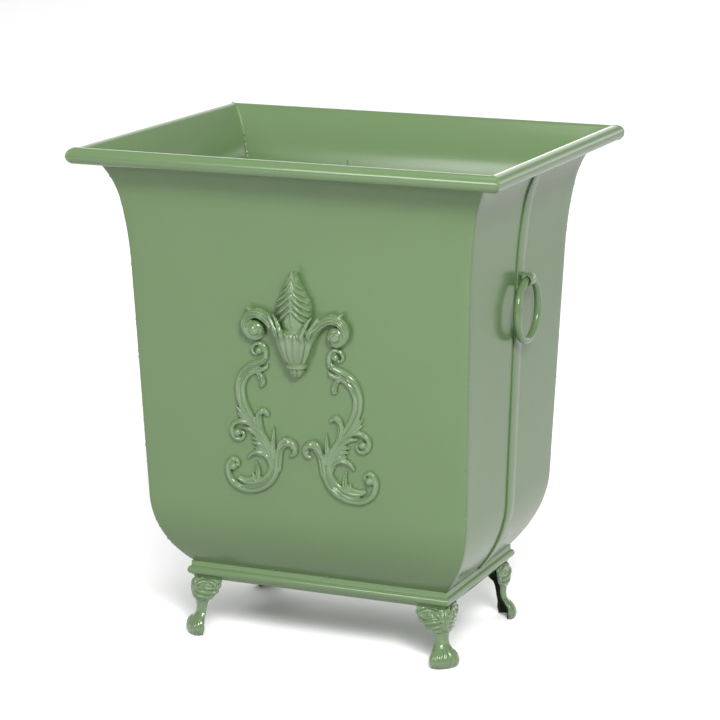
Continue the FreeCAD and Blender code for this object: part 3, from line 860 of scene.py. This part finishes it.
scroll_strokes = {
    "stem": [(38, 279.3, 2.6), (42, 280.4, 3.2), (43.2, 285, 3.8), (39.4, 289.2, 4.4), (33.8, 289, 5),
             (30.4, 284.6, 5.4), (30.4, 278.4, 5.8), (34, 273.6, 6.6), (41, 270.6, 7.4), (48, 266.8, 7.6),
             (54, 261, 6.8), (57.6, 253.6, 5.8), (58.7, 245, 5.2), (57.4, 235.6, 5), (53.4, 226.4, 4.8),
             (47.6, 217.6, 4.6), (41.6, 210, 4.2)],
    "stem_rib": [(41, 263.4, 3.6), (47.2, 259.8, 4.4), (51.6, 254, 4.8), (53.8, 246.4, 4.8), (53, 238, 4.8),
                 (49.8, 229.4, 4.6), (45.4, 221.6, 4.2), (41.4, 215, 4)],
    "lip_leaf": [(28.8, 270.6, 1.8), (30.8, 267.8, 4.2), (36, 265.6, 5), (42, 264.8, 4), (48, 262.6, 3)],
    "drop_leaf": [(39, 263, 4), (35.4, 259, 5.6), (34.2, 254, 6), (35.2, 250.8, 4.4)],
    "left_sprig": [(35, 203, 4.4), (37.6, 211, 5.6), (39.2, 219, 6), (38.8, 225, 6.4), (35.4, 228, 6.4),
                   (31.4, 226.6, 5), (29.8, 223.4, 2.6)],
    "right_sprig": [(46, 214, 3.6), (51, 219, 4.4), (56, 224.6, 4), (60.6, 229.6, 1.8)],
    "low_sprig": [(50, 216.4, 3), (55.4, 220, 3.4), (60, 224, 1.4)],
    "side_volute": [(24.6, 178, 4.6), (27, 189, 4.8), (31, 199, 5), (37, 207.4, 5), (44.4, 213, 5),
                    (52.4, 216, 5.2), (59.6, 215.8, 5.4), (65, 211.6, 5.2), (65.8, 205.4, 5),
                    (62.4, 200.4, 4.8), (57, 199.8, 4.4), (54.2, 203.4, 3.6), (56, 207, 2.6)],
    "side_rib": [(29, 186, 3.6), (33.4, 196.4, 5), (40, 204.4, 5.2), (48, 209.4, 4.6), (55, 210.6, 2.6)],
    "high_lobe": [(36, 199, 3.6), (41, 201.6, 4.6), (47, 202, 2.4)],
    "middle_lobe": [(34, 194, 3.6), (39.4, 197, 4.8), (46, 197.8, 2.4)],
    "low_lobe": [(32, 189, 3.6), (37.6, 192.6, 4.6), (44, 193.6, 2.2)],
    "upright_leaf": [(25.6, 188, 4.8), (25.8, 200, 4.8), (25.4, 210, 3), (25.2, 214.4, 1.2)],
    "hook_leaf": [(21.8, 174, 5.6), (20.8, 184, 6.2), (19.4, 193, 7), (15.4, 199.4, 8), (9.8, 201.2, 8.6),
                  (5.6, 197.6, 7.6), (5.8, 191.6, 5.6), (9.8, 189, 3.4)],
    "hook_ridge": [(21.4, 190, 3, 2), (19.4, 199.6, 3.4, 2), (14.4, 204.2, 3.4, 2), (8.6, 204, 2.2, 1.6)],
    "lower_c": [(23.4, 192, 5), (22.8, 181, 6.4), (25.4, 170.4, 7.4), (31.4, 161.8, 7.6), (40.4, 156, 7.4),
                (50.6, 153.8, 7), (60, 155, 6.6), (67.4, 160, 6.2), (71, 167.6, 5.8), (70.8, 175.4, 5.6),
                (66.6, 180.4, 5.2), (61.6, 179, 4.2), (60.6, 174.6, 3.2)],
    "inner_c": [(28, 190, 3.6), (27.8, 180, 4.2), (31, 171.6, 4.8), (37, 164.8, 5), (45.4, 160.8, 4.8),
                (54.4, 160, 4.4), (62, 163, 2.6)],
    "third_c": [(45, 166.8, 3), (49.6, 164, 3.4), (56, 163.4, 2.8), (61, 165.4, 1.6)],
    "crescent": [(29.6, 177.6, 3.2), (31.8, 184.4, 4.8), (37.4, 188.6, 5.6), (43.8, 188.6, 5.8),
                 (48.6, 185.6, 4.8), (51.2, 181.8, 2)],
    "inner_leaf": [(43.6, 180.4, 2), (42, 174, 4.6), (42, 167, 5.6), (45.2, 161, 4)],
    "leaf_bud": [(47.4, 169, 2), (46.4, 165.6, 3.4), (47, 161.6, 2.6)],
}
scroll_eyes = [(36.4, 283.2, 3.4), (60, 206, 3.8), (65.6, 173.8, 3.8)]
scroll_grooves = [
    [(21.4, 178), (20.2, 188), (16.6, 196.2), (10.4, 198.4), (7, 195)],
    [(37.6, 261), (35.2, 256), (34.8, 251.6)],
    [(32.4, 183), (37.6, 187), (43.6, 187), (48, 184)],
    [(43, 178), (42, 171), (43.4, 164)],
    [(25.7, 192), (25.6, 208)],
    [(36.4, 209), (38.6, 218), (37.6, 224.4)],
    [(30, 276), (35, 271.6), (43, 268.4), (50, 263.6), (55, 257)],
    [(24.6, 184), (25.6, 174), (30, 165.4), (38, 158.6), (48, 155), (58, 155.4)],
]


def scroll_ornament():
    """Right-hand acanthus scroll: strokes and eyes fused, then grooved."""
    bm = bmesh.new()
    for points in scroll_strokes.values():
        stroke(bm, points, scroll_stand)
    for x, z, radius in scroll_eyes:
        eye(bm, x, z, radius, scroll_stand + 0.25 * radius)
    cast = fused(bm, softenings=1)
    carve(cast, scroll_grooves, width=1.7, depth=1.5)
    soften(cast)
    return cast


# Crest: a ribbed leaf over a fluted cup, with a ridged arm curling out at each side; rings are (height, half
# width, half depth) and the rest are points as for a stroke
leaf_rings = [(300, 10, 6), (304, 11.5, 7), (309, 13, 8), (315, 15, 8.6), (321, 16.4, 9), (328, 16.6, 9),
              (333, 15.2, 8.8), (338, 12.2, 8.4), (343, 9.2, 7.6), (348, 6.9, 6.6), (353, 5, 5.6),
              (357, 3.4, 4.4)]
cup_rings = [(275, 8.4, 6), (280, 10.8, 8), (286, 13, 9.2), (292, 14.8, 10), (298, 16.6, 10),
             (303, 17.6, 8.6), (306, 17, 6.6)]
collar_rings = [(271, 8.4, 6), (272.2, 10.2, 8.2), (274.2, 10.2, 8.2), (275.6, 8.8, 6.4)]
knob_rings = [(261.5, 1.4, 1.2), (263.5, 4.2, 3.4), (266.5, 6.4, 5), (269.5, 7.4, 5.8), (271.5, 7.4, 5.8)]
leaf_midrib = [(0, 354, 2.4), (0, 340, 2.8), (0, 325, 2.8), (0, 310, 2.2)]
rib_starts = (355, 349, 343, 337, 331, 325)
flute_tips = {
    0.2: [(3.4, 302.5, 3.4, 10.2)],
    0.58: [(9.6, 303, 5, 9.4), (12.2, 309.5, 4.4, 8.4), (15.4, 315.4, 3.2, 7.2), (18.4, 319.4, 1.8, 6)],
    0.9: [(15.4, 304, 5.2, 7.4), (18.8, 310.6, 4.6, 6.4), (22, 316, 3.4, 5.6), (24.4, 319.6, 1.8, 5)],
}
crest_arm = [(12, 292, 8, 2), (16, 301.5, 9.6, 2), (21, 309, 10.2, 2), (27.8, 315, 10.2, 2),
             (35, 317.8, 9.8, 2), (41.8, 316.4, 9.2, 2), (46.6, 311.4, 8.6, 2), (47.5, 304.8, 8, 1.6),
             (44.8, 298.8, 7.2, 1), (39.4, 295.6, 6.4, 0.6), (34.2, 297, 5.6), (32.6, 301.6, 4.8),
             (35.6, 304.4, 3.6)]
arm_eye = (38.4, 303.2, 8.2)
arm_eye_curl = [(33, 304), (34.2, 299.6), (38.6, 297.8), (42.6, 300.6), (42.8, 305.2), (39.4, 307.4),
                (36.8, 305)]
arm_tips = [
    [(26, 315.6, 4.8, 3), (31, 319.6, 4, 3), (35.6, 322.4, 2.2, 3)],
    [(37, 317.6, 5, 2.6), (42, 320.6, 4.2, 2.6), (45.6, 323.6, 2.2, 2.4)],
]
leaf_tip = [(0, 350, 6.4, 4.4), (0.6, 354.6, 5.6, 5.4), (1, 358.4, 3.4, 6.2), (1.2, 360.6, 1.6, 6.6)]
tip_lobe = [(3, 346, 4, 4), (4.4, 350, 3.6, 4), (4.8, 353.4, 2, 3.6)]
knob_groove = [(2.6, 271), (1.6, 263)]


def bud(bm, rings):
    """Stack of half-sunk ellipses, as (height, half width, half depth) in mm, closed at both ends."""
    places = []
    for z, half_width, half_depth in rings:
        place = Matrix.Translation(Vector((0, -crest_stand, z)) * mm)
        places.append(place @ Matrix.Diagonal((half_width * mm, half_depth * mm, 1, 1)))
    draw_out(bm, places, 28)


def over_bud(rings, points, sunk):
    """Points (share of the half width, height, width) laid on a bud's skin, sunk into it by so many mm."""
    laid = []
    for share, z, width in points:
        low, high = [pair for pair in zip(rings, rings[1:]) if pair[0][0] <= z][-1]
        part = (z - low[0]) / (high[0] - low[0])
        half_width = low[1] + (high[1] - low[1]) * part
        half_depth = low[2] + (high[2] - low[2]) * part
        laid.append((share * half_width, z, width, half_depth * sqrt(1 - share ** 2) - sunk))
    return laid


def beside(points, offset):
    """Line of (x, z) beside a stroke, offset to its left."""
    line = []
    for i, point in enumerate(points):
        before, after = points[max(i - 1, 0)], points[min(i + 1, len(points) - 1)]
        run = Vector((after[0] - before[0], after[1] - before[1])).normalized()
        line.append((point[0] - run.y * offset, point[1] + run.x * offset))
    return line


def on_side(line, sign):
    """Line of (x, z) on the right or, with a sign of -1, on the left."""
    return [(sign * x, z) for x, z, *_ in line]


def crest_ornament():
    """Leaf, cup, collar and knob with their ribs, flutes and arms fused, then grooved."""
    bm = bmesh.new()
    for rings in (leaf_rings, cup_rings, collar_rings, knob_rings):
        bud(bm, rings)
    stroke(bm, over_bud(leaf_rings, leaf_midrib, 0.4), crest_stand)
    stroke(bm, leaf_tip, crest_stand)
    arm_grooves, leaf_grooves, knob_grooves = [], [], []
    for sign in (1, -1):
        for start in rib_starts:
            rib = [(0.06, start, 3.0), (0.45, start - 6, 4.0), (0.94, start - 12, 2.8)]
            stroke(bm, over_bud(leaf_rings, rib, -0.3), crest_stand, sign)
            valley = [(0.12, start - 3, 0), (0.5, start - 9, 0), (0.96, start - 15, 0)]
            leaf_grooves.append(on_side(over_bud(leaf_rings, valley, 0), sign))
        for share, tips in flute_tips.items():
            flute = [(share * 0.95, 277, 3.4), (share, 284, 4.8), (share, 291, 5.6), (share, 297, 5.6)]
            stroke(bm, over_bud(cup_rings, flute, 1.2) + tips, crest_stand, sign)
        stroke(bm, tip_lobe, crest_stand, sign)
        for arm in (crest_arm, *arm_tips):
            stroke(bm, arm, crest_stand - 1, sign, relief=1.1)
        x, z, radius = arm_eye
        eye(bm, sign * x, z, radius, crest_stand + 0.6, flat=0.62)
        arm_grooves.append(on_side(arm_eye_curl, sign))
        for offset in (-1.8, 1.2):
            arm_grooves.append(on_side(beside(crest_arm[1:8], offset), sign))
        knob_grooves.append(on_side(knob_groove, sign))
    cast = fused(bm, softenings=1)
    carve(cast, arm_grooves, width=2.0, depth=1.3)
    carve(cast, leaf_grooves, width=2.2, depth=1.3)
    carve(cast, knob_grooves, width=1.6, depth=1.4)
    soften(cast)
    return cast


scroll = scroll_ornament()
for side in ("left", "right"):
    casting = scroll.copy()
    if side == "left":
        bmesh.ops.transform(casting, matrix=Matrix.Diagonal((-1, 1, 1, 1)), verts=casting.verts[:])
    on_front_wall(casting)
    place_piece(casting, side + "_scroll_casting", casting_paint,
                [side + "_scroll_ornament"], crease=casting_crease)
scroll.free()
crest = crest_ornament()
on_front_wall(crest)
place_piece(crest, "crest_casting", casting_paint, ["crest_ornament"],
            crease=casting_crease)


# Weld metal left proud under the paint

def weld_drop(bm, x, y, z, radius):
    bmesh.ops.create_icosphere(bm, subdivisions=2, radius=radius, matrix=Matrix.Translation((x, y, z)))


def corner_welds(bm, rng, x, y):
    """Drops down the inside of a corner and over its rim mitre; x and y are the corner's signs."""
    z = weld_low
    while z < weld_high:
        radius = rng.uniform(0.9, 1.6) * mm
        inset_x = sheet + rng.uniform(0.2, 1.0) * mm
        inset_y = sheet + rng.uniform(0.2, 1.0) * mm
        weld_drop(bm, x * (side_walls.half_at(z) - inset_x), y * (front_walls.half_at(z) - inset_y), z,
                  radius)
        z += rng.uniform(2.6, 6.6) * mm
    for degrees in range(-60, 130, 9):
        radius = rng.uniform(1.0, 1.4) * mm
        reach = rim_radius - radius + rng.uniform(0.25, 0.6) * mm
        out = reach * cos(radians(degrees))
        weld_drop(bm, x * (side_walls.rim_u + out), y * (front_walls.rim_u + out),
                  rim_height + reach * sin(radians(degrees)), radius)


def weld_beads():
    """Welds in the four corners, a short ridge inside the rear wall, and tacks along the moulding."""
    rng = random.Random(11)
    bm = bmesh.new()
    for x, y in ((1, 1), (1, -1), (-1, 1), (-1, -1)):
        corner_welds(bm, rng, x, y)
    ridge_x, ridge_z = rear_ridge
    for step in range(7):
        z = (ridge_z + step) * mm
        weld_drop(bm, (ridge_x - 0.43 * step) * mm, front_walls.half_at(z) - sheet, z, 0.9 * mm)
    for side, spots in tack_welds.items():
        turn = side_turns[side]
        for along in spots:
            spot = Vector((walls_of(side)[0].base_half + 0.2 * mm, along * mm, moulding_top + 0.3 * mm))
            weld_drop(bm, *(turn @ spot), rng.uniform(1.0, 1.5) * mm)
    return bm


place_piece(weld_beads(), "weld_beads", bar_paint, [], crease=radians(80))


# Bolts and nuts under the plate

def hex_block(bm, width, low, high, place):
    """Hexagon with eased corners, standing at a place."""
    middle = Matrix.Translation((place.x, place.y, (low + high) / 2))
    radius = width / sqrt(3)
    made = bmesh.ops.create_cone(bm, cap_ends=True, segments=6, radius1=radius, radius2=radius,
                                 depth=high - low, matrix=middle)
    edges = {e for v in made["verts"] for e in v.link_edges}
    level = [e for e in edges if abs(e.verts[0].co.z - e.verts[1].co.z) < sheet / 10]
    round_off(bm, level, hexagon_chamfer, 2)


def bolt_shank(bm, low, high, place):
    """Plain core with a thread ridge wound round it."""
    core = bolt_diameter / 2 - thread_depth
    middle = Matrix.Translation((place.x, place.y, (low + high) / 2))
    bmesh.ops.create_cone(bm, cap_ends=True, segments=24, radius1=core, radius2=core - shank_taper,
                          depth=high - low, matrix=middle)
    ridge = [bm.verts.new(place + Vector((u, 0, low + z)))
             for u, z in ((core, 0), (bolt_diameter / 2, 0.35 * thread_pitch), (core, 0.7 * thread_pitch))]
    edges = [bm.edges.new((ridge[0], ridge[1])), bm.edges.new((ridge[1], ridge[2]))]
    turns = int((high - low) / thread_pitch) - 1
    steps_a_turn = 20
    bmesh.ops.spin(bm, geom=edges, cent=place, axis=up, angle=2 * pi * turns, steps=steps_a_turn * turns,
                   dvec=up * (thread_pitch / steps_a_turn))


bolts = bmesh.new()
nuts = bmesh.new()
lug_low = foot_height - lug_thickness
nut_low = foot_height + plate_thickness
for x, y, angle in foot_places.values():
    inset = foot_back + bolt_setback / sqrt(2)
    place = Vector((x * (base_half_width - inset), y * (base_half_depth - inset), 0))
    hex_block(bolts, bolt_head_width, lug_low - bolt_head_height, lug_low, place)
    bolt_shank(bolts, lug_low, nut_low + nut_height + bolt_stick_out, place)
    hex_block(nuts, bolt_head_width, nut_low, nut_low + nut_height, place)
for bm in (bolts, nuts):
    bmesh.ops.recalc_face_normals(bm, faces=bm.faces[:])
place_piece(bolts, "zinc_foot_bolts", bolt_zinc, ["foot_bolts"])
place_piece(nuts, "zinc_foot_nuts", bolt_zinc, ["foot_nuts"])

bottom_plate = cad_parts["bottom_plate"]
bottom_plate.data.materials.clear()
bottom_plate.data.materials.append(sheet_paint)


# Floor, light and camera

def grey(shade):
    return (shade, shade, shade, 1.0)


def pale_floor():
    """Studio floor, pale to the eye but dimmer in what it throws back at the planter."""
    bm = bmesh.new()
    bmesh.ops.create_grid(bm, x_segments=1, y_segments=1, size=14.0)
    floor = mesh_object(bm, "pale_floor")
    finish, shader, place = new_finish("pale_floor_paint")
    bounced = place.add("ShaderNodeLightPath", result="Is Diffuse Ray")
    mirrored = place.add("ShaderNodeLightPath", result="Is Glossy Ray")
    pale = place.noise(3.0).between(grey(0.80), grey(0.82))
    pale = mirrored.between(pale, grey(0.55))
    place.fill(shader, {"Base Color": bounced.between(pale, grey(0.17)), "Roughness": 0.7,
                        "Specular IOR Level": 0.15})
    floor.data.materials.append(finish)
    return floor


def soft_box(name, place, aim, width, height, power):
    """Oblong lamp at a place, facing its aim."""
    lamp = bpy.data.lights.new(name, "AREA")
    lamp.shape = "RECTANGLE"
    lamp.size = width
    lamp.size_y = height
    lamp.energy = power
    box = bpy.data.objects.new(name, lamp)
    bpy.context.scene.collection.objects.link(box)
    look = Vector(aim) - Vector(place)
    box.matrix_world = Matrix.Translation(place) @ look.to_track_quat("-Z", "Y").to_matrix().to_4x4()
    return box


body_middle = (0, 0, 0.25)
soft_box("key_box", (1.62, -2.16, 2.10), body_middle, 0.7, 0.7, 64)
soft_box("top_box", (0.0, -0.4, 2.6), body_middle, 1.2, 1.2, 12)
soft_box("left_box", (-0.80, -2.60, 1.15), (0, 0, 0.40), 0.7, 0.8, 15)

# Two more boxes light the floor and nothing else
floor_alone = bpy.data.collections.new("floor_alone")
floor_alone.objects.link(pale_floor())
for box in (soft_box("backdrop_box", (0.0, 5.5, 4.0), (0.0, 5.5, 0.0), 9.0, 9.0, 420),
            soft_box("floor_box", (1.1, -2.4, 2.3), (0.0, 0.0, 0.0), 1.4, 1.4, 150)):
    box.light_linking.receiver_collection = floor_alone


def studio_air():
    """Dim room with a white sweep low down behind the planter and a lamp's glow behind it on the left."""
    world = bpy.data.worlds.new("studio_air")
    bpy.context.scene.world = world
    world.use_nodes = True
    air = Signal(world.node_tree).add("ShaderNodeTexCoord", result="Generated")
    behind = air.add("ShaderNodeSeparateXYZ", sockets={0: air}, result="Y").rising(0.0, 0.6)
    low = air.add("ShaderNodeSeparateXYZ", sockets={0: air}, result="Z").rising(0.28, 0.06)
    lamp_way = (-0.385, 0.907, 0.17)
    towards_lamp = air.add("ShaderNodeVectorMath", {"operation": "DOT_PRODUCT"}, {0: air, 1: lamp_way},
                           "Value")
    glow = towards_lamp.rising(0.84, 0.97)
    strength = 0.25 + behind * low * 1.4 + glow * 1.1
    air.fill(world.node_tree.nodes["Background"], {"Color": grey(1.0), "Strength": strength})


studio_air()
bpy.context.scene.view_settings.view_transform = "Standard"

# Camera: where it stands, and how far its aim lies right of and above the planter's middle in the picture
azimuth = radians(23.25)
elevation = radians(13.03)
camera_distance = 2.5564
planter_middle = Vector((0, 0, 0.225))
aim_right = 0.00683
aim_above = 0.02629
back = Vector((sin(azimuth) * cos(elevation), -cos(azimuth) * cos(elevation), sin(elevation)))
camera_right = Vector((cos(azimuth), sin(azimuth), 0))
camera_up = back.cross(camera_right)
aim = planter_middle + camera_right * aim_right + camera_up * aim_above
lens = bpy.data.cameras.new("photo_camera")
lens.sensor_width = 36.0
lens.lens = 140.3
camera = bpy.data.objects.new("photo_camera", lens)
bpy.context.scene.collection.objects.link(camera)
facing = Matrix((camera_right, camera_up, back)).transposed().to_4x4()
camera.matrix_world = Matrix.Translation(aim + back * camera_distance) @ facing
bpy.context.scene.camera = camera
